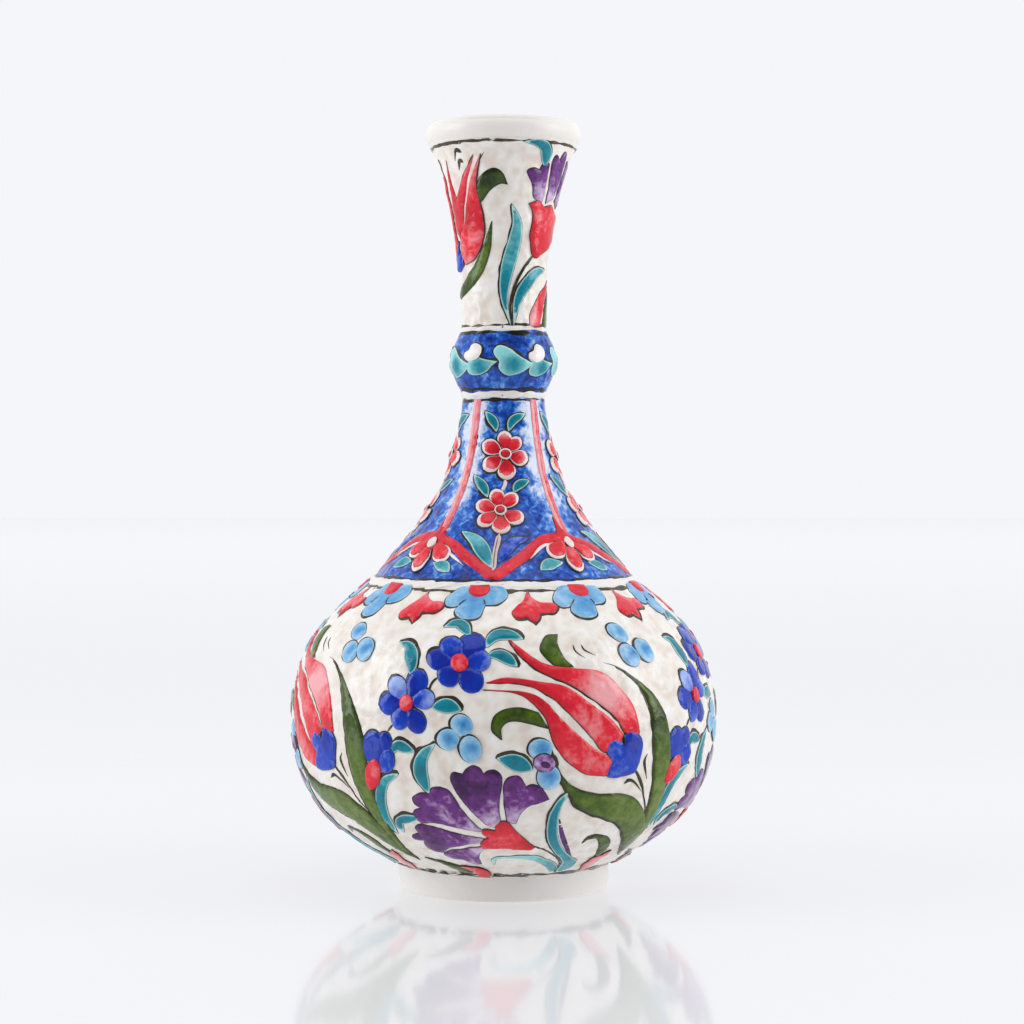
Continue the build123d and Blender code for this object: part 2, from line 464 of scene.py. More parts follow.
def edge_distances(points, outline):
    """Each point's distance from a closed outline, and whether it is inside."""
    start, end = outline, np.roll(outline, -1, 0)
    way = end - start
    relative = points[:, None] - start[None]
    share = np.clip((relative * way).sum(-1) / np.maximum((way**2).sum(-1), 1e-12), 0, 1)
    distance = np.linalg.norm(relative - share[..., None] * way, axis=-1).min(1)
    above = (start[None, :, 1] > points[:, None, 1]) != (end[None, :, 1] > points[:, None, 1])
    height = np.where(way[:, 1] == 0, 1e-12, way[:, 1])
    crossing = start[None, :, 0] + (points[:, None, 1] - start[None, :, 1]) * way[None, :, 0] / height
    inside = (above & (points[:, None, 0] < crossing)).sum(1) % 2 == 1
    return distance, inside


def filled(outline):
    """Points and triangles that fill a closed outline evenly, with each point's distance from its edge."""
    low, high = outline.min(0), outline.max(0)
    step = float(np.clip(math.sqrt(np.prod(high - low)) / FILL_COUNT, FINEST_FILL, COARSEST_FILL))
    x, y = np.meshgrid(np.arange(low[0], high[0], step), np.arange(low[1], high[1], step * ROW_SPACING))
    x[::2] += step / 2
    grid = np.stack([x.ravel(), y.ravel()], -1)
    distance, inside = edge_distances(grid, outline)
    grid = grid[inside & (distance > step * 0.5)]
    corners = [Vector(point) for point in np.concatenate([outline, grid])]
    loop = list(range(len(outline)))
    points, _, triangles = delaunay_2d_cdt(corners, [], [loop], INSIDE_ONLY, 1e-5)[:3]
    points = np.array([tuple(point) for point in points])
    return points, [tuple(face) for face in triangles], edge_distances(points, outline)[0]


class Layer:
    """All the relief of one enamel in one zone of the vase, gathered into one piece."""

    def __init__(self, name, material, slot, lines=None):
        self.name, self.material, self.slot, self.lines = name, material, slot, lines
        self.vertices, self.faces, self.tones, self.rims = [], [], [], []

    def add(self, places, faces, tones, rims):
        first = sum(len(group) for group in self.vertices)
        self.vertices.append(places)
        self.faces.extend(tuple(first + index for index in face) for face in faces)
        self.tones.append(tones)
        self.rims.append(rims)

    def patch(self, chart, outline, tone=0.4, dome=0.32, level=0, line=(0.5, 0.1), toward=THICK_SIDE):
        """A puffy patch of enamel, and the dark line round it, given as its thick and thin widths."""
        points, triangles, distance = filled(outline)
        swell = np.sqrt(1 - (1 - np.minimum(distance / PATCH_ROUND, 1)) ** 2)
        lift = COAT_LIFT + PATCH_EDGE + level * LEVEL + dome * swell
        share = 1 - 0.5 * np.minimum(distance / FLATTENING, 1)
        turn, along = chart.lay(points)
        top = on_wall(turn, along, lift, share)[0]
        bottom = on_wall(turn, along, np.full(len(points), SKIRT), share * 0)[0]
        count = len(points)
        edges = dict.fromkeys(edge for face in triangles for edge in zip(face, face[1:] + face[:1]))
        rim_edges = [edge for edge in edges if (edge[1], edge[0]) not in edges]
        faces = list(triangles)
        faces += [tuple(count + index for index in reversed(face)) for face in triangles]
        faces += [(b, a, count + a, count + b) for a, b in rim_edges]
        tones = tone(points) if callable(tone) else np.full(count, float(tone))
        self.add(np.concatenate([top, bottom]), faces, np.tile(tones, 2), np.tile(distance, 2))
        if self.lines:
            outline = outline[::-1] if turning(outline) > 0 else outline
            out = sides(outline, closed=True)
            thick, thin = line
            facing = (1 + out @ (np.array(toward) / np.linalg.norm(toward))) / 2
            ragged = np.array([noise.noise(Vector((*point / RAGGED_LENGTH, 1))) for point in outline])
            width = (thin + (thick - thin) * facing**2) * (1 + RAGGEDNESS * ragged)
            self.lines.ribbon(chart, outline, out, width, LINE_INSIDE, closed=True, level=level)

    def ribbon(self, chart, path, left, outer, inner, closed=False, level=0, tone=0.4, crown=LINE_CROWN):
        """A low raised strip along a path, reaching to its left by outer and to its right by inner."""
        outer = np.broadcast_to(outer, len(path))
        inner = np.broadcast_to(inner, len(path))
        offsets = (outer, outer, (outer - inner) / 2, -inner, -inner)
        rows = []
        for offset, lift in zip(offsets, (SKIRT, LINE_EDGE, crown, LINE_EDGE, SKIRT)):
            turn, along = chart.lay(path + left * offset[:, None])
            lifted = lift if lift < 0 else COAT_LIFT + lift + level * LEVEL
            rows.append(on_wall(turn, along, np.full(len(path), lifted), float(lift > 0))[0])
        count, sections = len(path), len(rows)
        faces = tube_faces(count, sections, closed)
        if not closed:
            faces.append(tuple(range(sections - 1, -1, -1)))
            faces.append(tuple((count - 1) * sections + a for a in range(sections)))
        places = np.stack(rows, 1).reshape(-1, 3)
        tones = np.broadcast_to(tone, (count,))
        self.add(places, faces, np.repeat(tones, sections), np.full(len(places), 1.0))

    def stroke(self, chart, points, width, level=0, tone=0.4, start=0.3, end=0.3, crown=LINE_CROWN):
        """A brush stroke through points, tapered over a share of its length at each end."""
        path = smooth(*points, closed=False, step=STROKE_STEP)
        share = shares_along(path)
        taper = np.minimum(np.minimum(share / max(start, 1e-3), (1 - share) / max(end, 1e-3)), 1)
        half = width / 2 * np.maximum(taper, 0.04) ** 0.7
        self.ribbon(chart, path, sides(path), half, half, level=level, tone=tone, crown=crown)

    def ring(self, along, width, raggedness, seed, crown=LINE_CROWN, tone=0.3):
        """A line right round the vase, whose width wavers, and which sinks away where it is very thin."""
        radius = float(radius_at(along))
        count = int(math.tau * radius / RING_STEP)
        turn = np.linspace(0, math.tau, count, endpoint=False)

        def waver(length, layer):
            places = ((math.cos(a) * radius / length, math.sin(a) * radius / length, layer) for a in turn)
            return np.array([noise.noise(Vector(place)) for place in places])

        half = width / 2 * np.clip(1 + raggedness * waver(WIDTH_WAVE, seed) * 1.6, 0.02, 2)
        path = np.stack([turn * radius, 0.5 * raggedness * waver(HEIGHT_WAVE, seed + 5)], -1)
        left = np.tile([0.0, 1.0], (count, 1))
        self.ribbon(Chart(0, along), path, left, half, half, closed=True, tone=tone, crown=crown)

    def build(self):
        """Makes the piece in Blender, in metres, riding on the vase's one body."""
        places = np.concatenate(self.vertices)
        piece = new_piece(self.name, places, self.faces, self.material)
        set_attribute(piece, "tone", np.concatenate(self.tones))
        set_attribute(piece, "rim", np.concatenate(self.rims))
        return piece


class Paint:
    """A zone's line layer and enamel layers, which are drawn on one chart at a time."""

    def __init__(self, zone, *colours):
        lines = Layer(f"{zone}_lines", LINE, "line_pigment")
        self.layers = {"line": lines}
        for colour in colours:
            material, slot = ENAMELS[colour]
            self.layers[colour] = Layer(f"{zone}_{colour}", material, slot, lines)
        self.chart = None

    def fill(self, colour, outline, tone, dome, **how):
        self.layers[colour].patch(self.chart, outline, tone, dome, **how)

    def stroke(self, colour, points, width, **how):
        self.layers[colour].stroke(self.chart, points, width, **how)

    def line(self, points, width, **how):
        self.stroke("line", points, width, **how)

    def build(self):
        for layer in self.layers.values():
            layer.build()


def tube_faces(rows, columns, closed=True):
    """The quads round a tube whose points come in rows. A closed tube ends where it starts."""
    faces = []
    for row in range(rows if closed else rows - 1):
        first, second = row * columns, (row + 1) % rows * columns
        for a in range(columns):
            b = (a + 1) % columns
            faces.append((first + a, first + b, second + b, second + a))
    return faces


def turning(outline):
    """Positive if an outline goes anticlockwise."""
    after = np.roll(outline, -1, 0)
    return float((outline[:, 0] * after[:, 1] - after[:, 0] * outline[:, 1]).sum())


def place_object(name, data):
    thing = bpy.data.objects.new(name, data)
    bpy.context.scene.collection.objects.link(thing)
    return thing


def set_attribute(piece, name, values):
    layer = piece.data.attributes.new(name, "FLOAT", "POINT")
    layer.data.foreach_set("value", np.asarray(values, np.float32))


def new_piece(name, places, faces, material):
    """A smooth-shaded piece from points in mm, with its sharp edges kept."""
    mesh = bpy.data.meshes.new(name)
    mesh.from_pydata((places * MM).tolist(), [], faces)
    mesh.validate()
    mesh.shade_smooth()
    mesh.set_sharp_from_angle(angle=SHARP_ANGLE)
    mesh.materials.append(material)
    piece = place_object(name, mesh)
    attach(piece, "root")
    return piece


def coat(name, low, high, segments, step, material, pale=None):
    """A ground coat over the wall between two distances along it: lumpy outside, and let into the clay."""
    alongs = np.linspace(low, high, max(4, round((high - low) / step)))
    inner = np.linspace(high, low, max(3, round((high - low) / 4)))
    turns = np.linspace(0, math.tau, segments, endpoint=False)
    rows = []
    for row_alongs, lift, share in ((alongs, COAT_LIFT, 1.0), (inner, -COAT_DEPTH, 0.0)):
        turn, along = np.tile(turns, len(row_alongs)), np.repeat(row_alongs, segments)
        rows.append((*on_wall(turn, along, np.full(len(turn), lift), share), turn, along))
    places, lumps, turn, along = (np.concatenate(column) for column in zip(*rows))
    faces = tube_faces(len(alongs) + len(inner), segments)
    piece = new_piece(name, places, faces, material)
    # The lumps' height as tone; with it the ivory glaze turns darker and warmer in the hollows, partly as
    # pooled glaze and partly as painted shade
    set_attribute(piece, "tone", 0.5 + lumps / (2 * DAB_HEIGHT))
    # pale, where given, is a painted highlight that makes the blue paler
    if pale:
        set_attribute(piece, "pale", pale(turn, along))


# ------------------------------------------------------- ground coats

shoulder_low, shoulder_high = band_heights("shoulder_band")
collar_low, collar_high = band_heights("collar_band")
knop_low, knop_high = band_heights("knop_band")
SHOULDER = along_at((shoulder_low + shoulder_high) / 2)
COLLAR = along_at((collar_low + collar_high) / 2)
KNOP_TOP = along_at((knop_low + knop_high) / 2)

# The drawings on the belly and on the trumpet neck are measured from these heights
BELLY_ORIGIN = along_at(54.5)
TRUMPET_ORIGIN = along_at(101.5)

# Where the red uprights between the neck's blue panels stand, in degrees, at their feet and heads
PANEL_FEET = (-43, 39, 132, 224)
PANEL_HEADS = (-38, 47, 139, 230)


# How far from an upright the painted highlight reaches, and how much paler it makes the blue
HIGHLIGHT_REACH = 5.5
HIGHLIGHT_STRENGTH = 0.55


def upright_turn(panel, share):
    """The turn of a panel's upright at a share of the way up the trumpet neck."""
    return math.radians(PANEL_FEET[panel] + (PANEL_HEADS[panel] - PANEL_FEET[panel]) * share)


def painted_highlight_by_uprights(turn, along):
    """Painted highlight: paler dabs beside the uprights in the upper half of each panel, standing in for the
    softboxes' reflections there.
    """
    share = np.clip((along - SHOULDER) / (COLLAR - SHOULDER), 0, 1)
    pale = np.zeros(len(turn))
    for foot, head in zip(PANEL_FEET, PANEL_HEADS):
        gap = turn - np.radians(foot + (head - foot) * share)
        gap = (gap + math.pi) % math.tau - math.pi
        near = np.exp(-((gap * radius_at(along)) / HIGHLIGHT_REACH) ** 2)
        pale += near * np.clip(share * 2 - 0.3, 0, 1) * HIGHLIGHT_STRENGTH
    return pale


def make_coats():
    coat("belly_ground", 0.1, SHOULDER, 560, 0.8, WHITE)
    coat("trumpet_ground", SHOULDER, COLLAR, 300, 0.62, BLUE, painted_highlight_by_uprights)
    coat("knop_ground", COLLAR, KNOP_TOP, 220, 0.5, BLUE, lambda turn, along: turn * 0)
    coat("flared_neck_ground", KNOP_TOP, WALL_END, 260, 0.62, WHITE)


# ------------------------------------------------------- belly flowers

# The belly's flowers are drawn four times round, each at a turn in degrees with its own seed
BELLY_UNITS = ((0, 0), (86, 3), (180, 5), (-86, 8))


def draw_tulip(paint):
    """A red tulip of three long petals that sweeps to the upper left from a cobalt calyx."""
    lower = smooth(
        (-6.1, 16.1, 0), (4.5, 14.9), (10.5, 10.6), (13.4, 6.4), (15.4, 0.3), (19.3, -5.3), (25.5, -9.8),
        (33.4, -11, 0), (34.8, -7), (33.4, -4.3, 0), (30.6, -3.4), (27.8, -1.6), (24.4, 1.2), (17.2, 7.8),
        (12.6, 12.7), (6.4, 15.5),
    )
    middle = smooth(
        (-5, 18.3, 0), (1.4, 19.9), (11.4, 18.5), (19.3, 16.8), (27.1, 11.5), (34.4, 6.2), (39, 1.2, 0),
        (36, -1.6), (33.4, -3.7, 0), (30.8, -2.9), (28.8, -0.4), (26.2, 2.7), (20.6, 8.4), (14.3, 13.9),
        (6, 17.8),
    )
    upper = smooth(
        (0.7, 34.7, 0), (4.3, 30.4), (12.1, 24.5), (20.7, 22.7), (30.7, 21.1), (37.9, 15.6), (42.8, 9),
        (44.9, 2, 0), (42.6, -1), (39.6, 1.5, 0), (36.4, 5.9), (33.4, 8.8), (27.3, 13.1), (20.7, 17.4),
        (11.4, 21.7), (5, 27.3),
    )
    calyx = smooth(
        (32.5, -3), (32.8, -1.3), (33.9, -0.1), (35.5, 0.3), (37, -0.3), (38.2, -1.1, 0), (38.9, 1.2),
        (40.5, 2.3), (42.6, 2.2), (44.6, 0.8), (45.6, -1.4), (45.3, -4.4), (44.2, -7.6), (42.6, -10.2),
        (38, -11.3), (34.6, -11.5), (32.6, -10.7), (33, -8.4), (34.5, -6.1, 0), (33.3, -4.7),
    )
    paint.fill("red", lower, glow((27, -5), 13, 0.3, 0.52), 0.4, line=(0.3, 0), toward=(-0.9, -0.1))
    paint.fill("red", middle, glow((27, 6), 12, 0.3, 0.6), 0.4, line=(0.3, 0), toward=(-0.3, -0.9))
    # The upper petal's glow up to the red's palest pink is a painted highlight, standing in for a softbox's
    # reflection
    paint.fill("red", upper, glow((32, 15), 9.5, 0.36, 1.05), 0.45, line=(0.5, 0), toward=(-0.6, -0.8))
    paint.fill("cobalt", calyx, glow((41.5, -1), 3.6, 0.5, 0.08), 0.42, level=2, line=(0.35, 0.15))
    paint.line([(38.4, 0.9), (38.6, -1.8)], 0.6, level=5, tone=0.1)
    paint.line([(43, -9.6), (45.9, -14.2), (48.6, -25.4)], 1.0, start=0.05, end=0.7)
    paint.line([(43.4, -10.4), (46.6, -17), (48.9, -24.4)], 0.4)
    paint.line([(39, -13.9), (41, -12.8), (43.4, -14), (46, -17)], 1.2, start=0.2, end=0.8)
    paint.line([(47.9, -4.9), (46.8, -7.6), (48, -13)], 1.2, start=0.4, end=0.7)


def draw_green_leaves(paint):
    """The broad olive leaves that rise round the tulip, and the hooks that curl off it."""
    hook = smooth(
        (14, 4.4, 0), (7.9, 6.1), (2.6, 6.7), (-0.2, 4.7), (-0.1, 1.2, 0), (-2.9, 4), (-2.5, 8),
        (0.7, 10.3), (5.5, 10.8), (10.8, 9.3, 0),
    )
    top = smooth(
        (22, 22.8, 0), (16.4, 23.2), (12.4, 26.8), (11.4, 30), (13.4, 33.8), (16.9, 34.3, 0), (16.9, 30.5),
        (19, 25.8),
    )
    right = smooth(
        (36, 22.5, 0), (42, 19.2), (49.3, 14.4), (54.6, 8.4), (57.8, 1), (58.6, -8), (56.8, -18),
        (53, -28.6), (48, -38.3), (41.5, -47.8, 0), (44.6, -37.4), (48.2, -28.6), (50.2, -18), (50.6, -6),
        (49.8, 3.5), (48, 10.5), (44.6, 16), (40, 20),
    )
    big = smooth(
        (14.6, -1.5, 0), (17.9, -9.8), (22.6, -14.3), (30, -16.6), (38.6, -17.3), (44.5, -20.2),
        (49.2, -27.6), (48.6, -35.1), (41.6, -47.7, 0), (40.6, -37.2), (38.4, -30.2), (33.6, -26.2),
        (25, -22.2), (20.2, -16.5), (16.6, -9.2),
    )
    curled = smooth(
        (25.2, -37, 0), (27, -34.1), (30.4, -33.1), (34.2, -34.6), (35.8, -38.3), (34, -43.8),
        (30.2, -49.7, 0), (31.3, -43.8), (31.4, -38.3), (30.2, -35.2), (27.4, -35.2),
    )
    paint.fill("green", hook, glow((4, 8), 5, 0.55, 0.3), 0.35, line=(0.4, 0), toward=(-0.9, -0.3))
    paint.fill("green", top, glow((14, 29), 4, 0.62, 0.36), 0.35, line=(0.25, 0), toward=(-0.9, 0.3))
    paint.fill("green", right, glow((53, 5), 10, 0.62, 0.28), 0.4, line=(0.5, 0.05), toward=(-1, 0))
    tone = glow((40, -24), 11, 0.42, 0.66)
    paint.fill("green", big, tone, 0.4, level=1, line=(0.8, 0.15), toward=(-0.6, -0.8))
    paint.fill("green", curled, 0.4, 0.3, line=(0.5, 0.1))
    paint.line([(31.6, 24), (36, 22.6), (41, 19.8), (46, 15.5)], 0.4, start=0.6, end=0.1)
    for points in ([(21.8, 30.4), (22.6, 28), (25.6, 25.6)], [(24.4, 30.4), (25.6, 28.4), (29.2, 26.4)]):
        paint.line(points, 0.6, start=0.2, end=0.8)


def draw_carnation(paint):
    """A purple carnation: five scalloped petals that fan out from a red calyx."""
    petals = (
        smooth(
            (-2.2, -28, 0), (-5, -26.6), (-9, -22), (-12.6, -17.3), (-15, -13.3), (-15.7, -10.6),
            (-14.6, -9), (-11.8, -9.5, 0), (-10.8, -7.8), (-8.9, -6.8), (-6.9, -7.5), (-5.6, -9.4, 0),
            (-4.2, -8.3), (-2, -8.3), (-0.3, -10), (-0.3, -13), (-1, -18), (-1, -22), (-0.4, -25.6, 0),
        ),
        smooth(
            (1.4, -25.6, 0), (0.7, -20), (0.4, -15), (0.9, -11.6), (2.8, -10.1), (5.2, -10.4),
            (7.1, -13.4, 0), (9.4, -12.8), (12, -14.2), (14, -17.6, 0), (11, -18.9), (8, -19.8),
            (5.4, -22.4), (3.9, -26.4, 0),
        ),
        smooth(
            (-5.6, -29.9, 0), (-9, -26.1), (-12.6, -20.9), (-15.7, -15.6), (-18.4, -14.1), (-21.4, -14.2),
            (-22.9, -16.4, 0), (-25.6, -16.1), (-27.9, -17.8), (-27.2, -20), (-25.2, -21.4, 0),
            (-27.6, -22.4), (-27.9, -24.8), (-25.4, -27.2, 0), (-20, -26.9), (-14, -28.3), (-8, -29.8),
        ),
        smooth(
            (-5.8, -33, 0), (-12, -31.6), (-18, -29.7), (-22.4, -28.2), (-26.2, -28), (-27.7, -29.8),
            (-26.6, -31.9, 0), (-28.8, -33), (-28.4, -34.9), (-24.9, -35.4, 0), (-24.6, -38),
            (-22.6, -40.6), (-18.8, -41.6, 0), (-16, -38.3), (-11, -36.5), (-6.2, -35, 0),
        ),
        smooth(
            (-5.4, -37.3, 0), (-11, -38.4), (-16.4, -40.4), (-18.3, -42.4), (-16.4, -45.2), (-12.4, -46.1),
            (-9, -48.6), (-6.6, -48.8, 0), (-7.4, -44), (-6.8, -40.6), (-4.6, -38.4, 0),
        ),
    )
    for outline, depth in zip(petals, (0.12, 0.34, 0.42, 0.26, 0.5)):
        tone = glow((0, -31), 12.5, depth, 1.05)
        paint.fill("purple", outline, tone, 0.34, line=(0.42, 0.12), toward=(-0.5, 0.6))
    calyx = smooth(
        (-6.2, -38, 0), (-6.8, -35.4), (-5.6, -33.4), (-4.2, -32.4, 0), (-6.2, -30.6), (-5.6, -28.7),
        (-2.2, -29.2, 0), (-2.1, -26.8), (-0.6, -25.3), (1.6, -25.6), (4.2, -29.6), (7, -33.6),
        (9.9, -37.3, 0), (7.6, -38.7), (0, -38.1),
    )
    paint.fill("red", calyx, glow((0, -34), 6, 0.3, 0.55), 0.42, level=2, line=(0.2, 0))
    paint.line([(9.4, -36.9), (13, -39.6), (16, -43.2), (17.7, -47.4), (18, -52)], 0.8, start=0.1)


def draw_cobalt_flowers(paint):
    """Two cobalt flowers with red hearts, and a bud, each petal its own shade of blue."""
    blossoms = (
        (
            (-13, 24.3), 2.7,
            ((58, 11.6, 8, 0.12), (117, 9.6, 7, 0.56), (171, 10.6, 7.2, 0.08),
             (231, 8.8, 7, 0.3), (303, 10.6, 7.4, 0.16), (8, 9.6, 7, 0.62)),
        ),
        (
            (-29.8, 11.5), 2.3,
            ((63, 11.4, 7, 0.38), (124, 9.2, 6.4, 1.02), (185, 10.0, 6.8, 0.42),
             (246, 8.8, 6, 0.66), (300, 10.2, 6.4, 0.14), (13, 9.4, 6.2, 0.74)),
        ),
    )
    for centre, heart, petals in blossoms:
        for number, (direction, length, width, tone) in enumerate(petals):
            aim = math.radians(direction)
            root = (centre[0] + math.cos(aim) * length * 0.3, centre[1] + math.sin(aim) * length * 0.3)
            shade = glow(root, 4.5, tone + 0.08, max(tone - 0.35, 0.02))
            outline = petal(centre, direction, length, width)
            level = number % 2
            paint.fill("cobalt", outline, shade, 0.42, level=level, line=(0.75, 0), toward=(-0.35, 0.9))
        disc = oval(centre, heart, heart * 1.08)
        paint.fill("red", disc, glow(centre, heart, 0.34, 0.6), 0.45, level=4, line=(0, 0))
    bud_lobes = (
        ((-41.8, -2.6), 4.2, 5.2, 0, 0.3),
        ((-37.3, -0.6), 2.5, 3, 10, 0.2),
        ((-36.6, -6.4), 2.7, 3.8, -10, 0.5),
    )
    for number, (centre, across, up, tilt, tone) in enumerate(bud_lobes):
        paint.fill("cobalt", oval(centre, across, up, tilt), tone, 0.4, level=number, line=(0.6, 0))
    bud = oval((-42, -11), 3, 5, -14)
    paint.fill("red", bud, glow((-42, -9), 3, 0.4, 0.6), 0.4, level=3, line=(0.2, 0))
    paint.line([(-19.4, 20), (-21.6, 18), (-23, 14.6)], 0.8)
    paint.line([(-34.6, 5), (-36.6, 2.6)], 0.8)
    paint.line([(-28.4, 20.8), (-27.4, 19)], 0.8)


def draw_sky_flowers(paint):
    """Trios of small sky-blue petals, and a blue blossom with a purple heart."""
    petals = (
        ((-12.3, 5.3), 3.6, 3.2, -45), ((-16.4, 1.1), 3.5, 3.2, 0), ((-9.6, -1.7), 3.3, 4.1, 10),
        ((37.9, 34), 4.8, 2.5, -38), ((41.8, 25.9), 4.8, 2.9, -44), ((47.9, 27.2), 5.0, 2.8, -48),
        ((11.4, -1.8), 3.7, 3.2, -10), ((13.9, -10.4), 3.6, 3.9, 20),
    )
    for number, (centre, across, up, tilt) in enumerate(petals):
        core = (centre[0] + across * 0.15, centre[1] + up * 0.1)
        shade = glow(core, 2.2, 0.78, 0.26)
        outline = oval(centre, across, up, tilt)
        paint.fill("sky", outline, shade, 0.34, level=number % 3, line=(0.75, 0.02), toward=(-0.8, 0.5))
    paint.fill("purple", oval((12.5, -6.0), 3.3, 2.8, -20), 0.6, 0.3, level=3, line=(0.4, 0.1))
    paint.fill("purple", oval((12.8, -6.3), 1.6, 1.0, -20), 0.1, 0.2, level=5, line=(0, 0))
    paint.line([(41.6, 27.6), (43.2, 27.3)], 0.9, level=3)
    paint.line([(15.6, -3.4), (16.8, -7)], 0.9, level=2)


def draw_turquoise_leaves(paint):
    """Small turquoise leaves round the flowers, each with a dark brush stroke behind its back."""
    leaves = (
        ([(-33.2, 30.9), (-29.6, 29.2), (-28.7, 25), (-28.8, 20.2)], 4.8, 0.55, (0.7, 0.7)),
        ([(-18.4, 36.8), (-13.4, 38.4), (-10, 33.8)], 4.0, 0.6, (0.2, 1)),
        ([(-5, 29.6), (-2.8, 33.4), (1, 34.4), (6.2, 32.6)], 4.2, 0.5, (0.4, 0.9)),
        ([(-4.9, 26.8), (-0.5, 27), (4.5, 23.4)], 4.0, 0.5, (0.8, 0.4)),
        ([(-21.6, 10.4), (-17, 11.1), (-12.4, 10)], 4.6, 0.5, (0.4, 0.9)),
        ([(-35.4, -4.2), (-33, -1.5), (-27.2, -2.9)], 3.6, 0.5, (0.2, 1)),
        ([(-20.4, -0.1), (-24.3, -4), (-25.3, -9), (-22.7, -16)], 4.6, 0.55, (-0.8, 0.5)),
        ([(-32.8, -10.2), (-37.7, -13), (-39.6, -18.5), (-38.4, -25.5), (-34.2, -33)], 4, 0.45, (-0.6, 0.6)),
        ([(-31.8, -32), (-33, -27), (-26, -25)], 3.6, 0.55, (-0.5, 0.8)),
        ([(-1.8, -4.3), (3.5, -5.6), (9, -7.9)], 5.2, 0.55, (-0.1, 1)),
    )
    for spine, width, fullest, back in leaves:
        outline = leaf(spine, width, fullest, 0.75)
        tone = glow(spine[len(spine) // 2], width * 1.3, 0.62, 0.3)
        paint.fill("turquoise", outline, tone, 0.34, line=(1.1, 0.08), toward=back)
    long_leaf = smooth(
        (20.6, -15, 0), (17, -17.6), (14.9, -21.2), (13.7, -25.4), (13.4, -30), (14, -35), (16.2, -41),
        (18.4, -46), (18.8, -50), (16.6, -56.5, 0), (22.4, -53.5), (24.2, -48.4, 0), (21, -43.4),
        (18.2, -37.4), (16.9, -31), (16.9, -25), (18, -20),
    )
    curl = smooth(
        (-2.7, -49.6, 0), (-3.5, -46), (-1.8, -43.5), (3, -42.7), (9, -42.8), (13, -45), (16.4, -49),
        (17.6, -54, 0), (15, -56.6, 0), (13.4, -52), (10.4, -47.2), (6.4, -44.9), (1, -44.3), (-1.9, -45.4),
    )
    paint.fill("turquoise", curl, fade((6, -44), (16, -56), 0.95, 0.4), 0.3, line=(0.3, 0.1), toward=(0, 1))
    tone = glow((15.4, -30), 10, 0.55, 0.3)
    paint.fill("turquoise", long_leaf, tone, 0.34, level=1, line=(0.6, 0.12), toward=(-1, 0.1))
    shadow = leaf([(17.2, -24), (18.6, -33), (22, -46)], 1.8, 0.5)
    paint.fill("purple", shadow, 0.15, 0.2, level=-1, line=(0.4, 0), toward=(1, 0))


def draw_foot_leaves(paint):
    """Leaf tips that reach down from the belly over the foot's dark line."""
    olive = smooth(
        (-25.4, -46, 0), (-18, -48.4), (-13, -51.4), (-9.4, -55.4), (-10.6, -57, 0), (-14.4, -54.6),
        (-19.4, -50),
    )
    red = smooth(
        (-13.4, -50.6, 0), (-8.4, -51.2), (-5.2, -53.4), (-3.6, -57.4), (-4.4, -59.4, 0), (-7.6, -59, 0),
        (-9, -55),
    )
    pink = leaf([(37, -43.2), (31, -49.4), (26, -58)], 4, 0.6)
    paint.fill("green", olive, 0.34, 0.25, level=1, line=(0.3, 0.1))
    paint.fill("red", red, fade((-12, -51), (-5, -56), 0.85, 0.25), 0.3, level=3, line=(0.2, 0))
    paint.fill("red", pink, 0.8, 0.25, level=2, line=(0.2, 0))


def make_belly():
    paint = Paint("belly", "red", "green", "turquoise", "cobalt", "sky", "purple")
    for degrees, seed in BELLY_UNITS:
        paint.chart = Chart(degrees, BELLY_ORIGIN, seed=seed)
        draw_tulip(paint)
        draw_green_leaves(paint)
        draw_carnation(paint)
        draw_cobalt_flowers(paint)
        draw_sky_flowers(paint)
        draw_turquoise_leaves(paint)
        draw_foot_leaves(paint)
    paint.build()


# ---------------------------------------------------- shoulder garland

GARLAND_COUNT = 9
GARLAND_START = -9.7


def make_garland():
    """Sky-blue blossoms that hang from the shoulder band, with a red flower between each pair."""
    paint = Paint("garland", "sky", "red")
    blossom = smooth(
        (-5.6, 55, 0), (-8.9, 51), (-10, 48), (-9.2, 45.5), (-7, 44.8), (-5.2, 45.6, 0), (-6, 42.6),
        (-3.8, 40.3), (-0.6, 40), (2, 41.6), (2.9, 46, 0), (6.4, 46.6), (8.7, 48.6), (9, 51.6),
        (7.4, 55, 0),
    )
    heart = smooth(
        (-3, 55, 0), (-3.3, 52.5), (-2.2, 50.3), (0.1, 49.4), (2.4, 50.3), (3.4, 52.6), (3, 55, 0),
    )
    flower = smooth(
        (-1.1, 52.8, 0), (-0.1, 50), (2.6, 47.6), (6.2, 47.4), (7.4, 45.4), (5.6, 42.9), (1.6, 42.6, 0),
        (0.9, 40.2), (-0.2, 38.4, 0), (-2.6, 40.8, 0), (-5.4, 40), (-7.1, 42.4), (-5.4, 45.2), (-2.8, 48.4),
    )
    spacing = 360 / GARLAND_COUNT
    for number in range(GARLAND_COUNT):
        seed = number + 11
        degrees = GARLAND_START + number * spacing
        paint.chart = Chart(degrees, BELLY_ORIGIN, seed=seed, unevenness=0.5)
        paint.fill("sky", blossom, glow((0, 47), 6, 0.66, 0.4), 0.36, line=(0.7, 0.15), toward=(-0.3, -0.8))
        paint.fill("red", heart, 0.42, 0.4, level=3, line=(0, 0))
        for points in ([(-5.2, 45.6), (-3.4, 48)], [(2.9, 46), (2.1, 48.4)]):
            paint.line(points, 0.4, level=4)
        degrees = GARLAND_START + (number + 0.51) * spacing
        paint.chart = Chart(degrees, BELLY_ORIGIN, seed=seed + 20, unevenness=0.5)
        tone = fade((0, 49), (0, 40), 0.66, 0.3)
        paint.fill("red", flower, tone, 0.36, line=(0.9, 0), toward=(0.3, -0.95))
    paint.build()


# -------------------------------------------------------- trumpet neck

# The turn, in degrees, that a panel's drawing was made for, and where an upright starts and stops
PANEL_DRAWN_WIDTH = 82
UPRIGHT_START = 0.27
UPRIGHT_END_GAP = 1.6


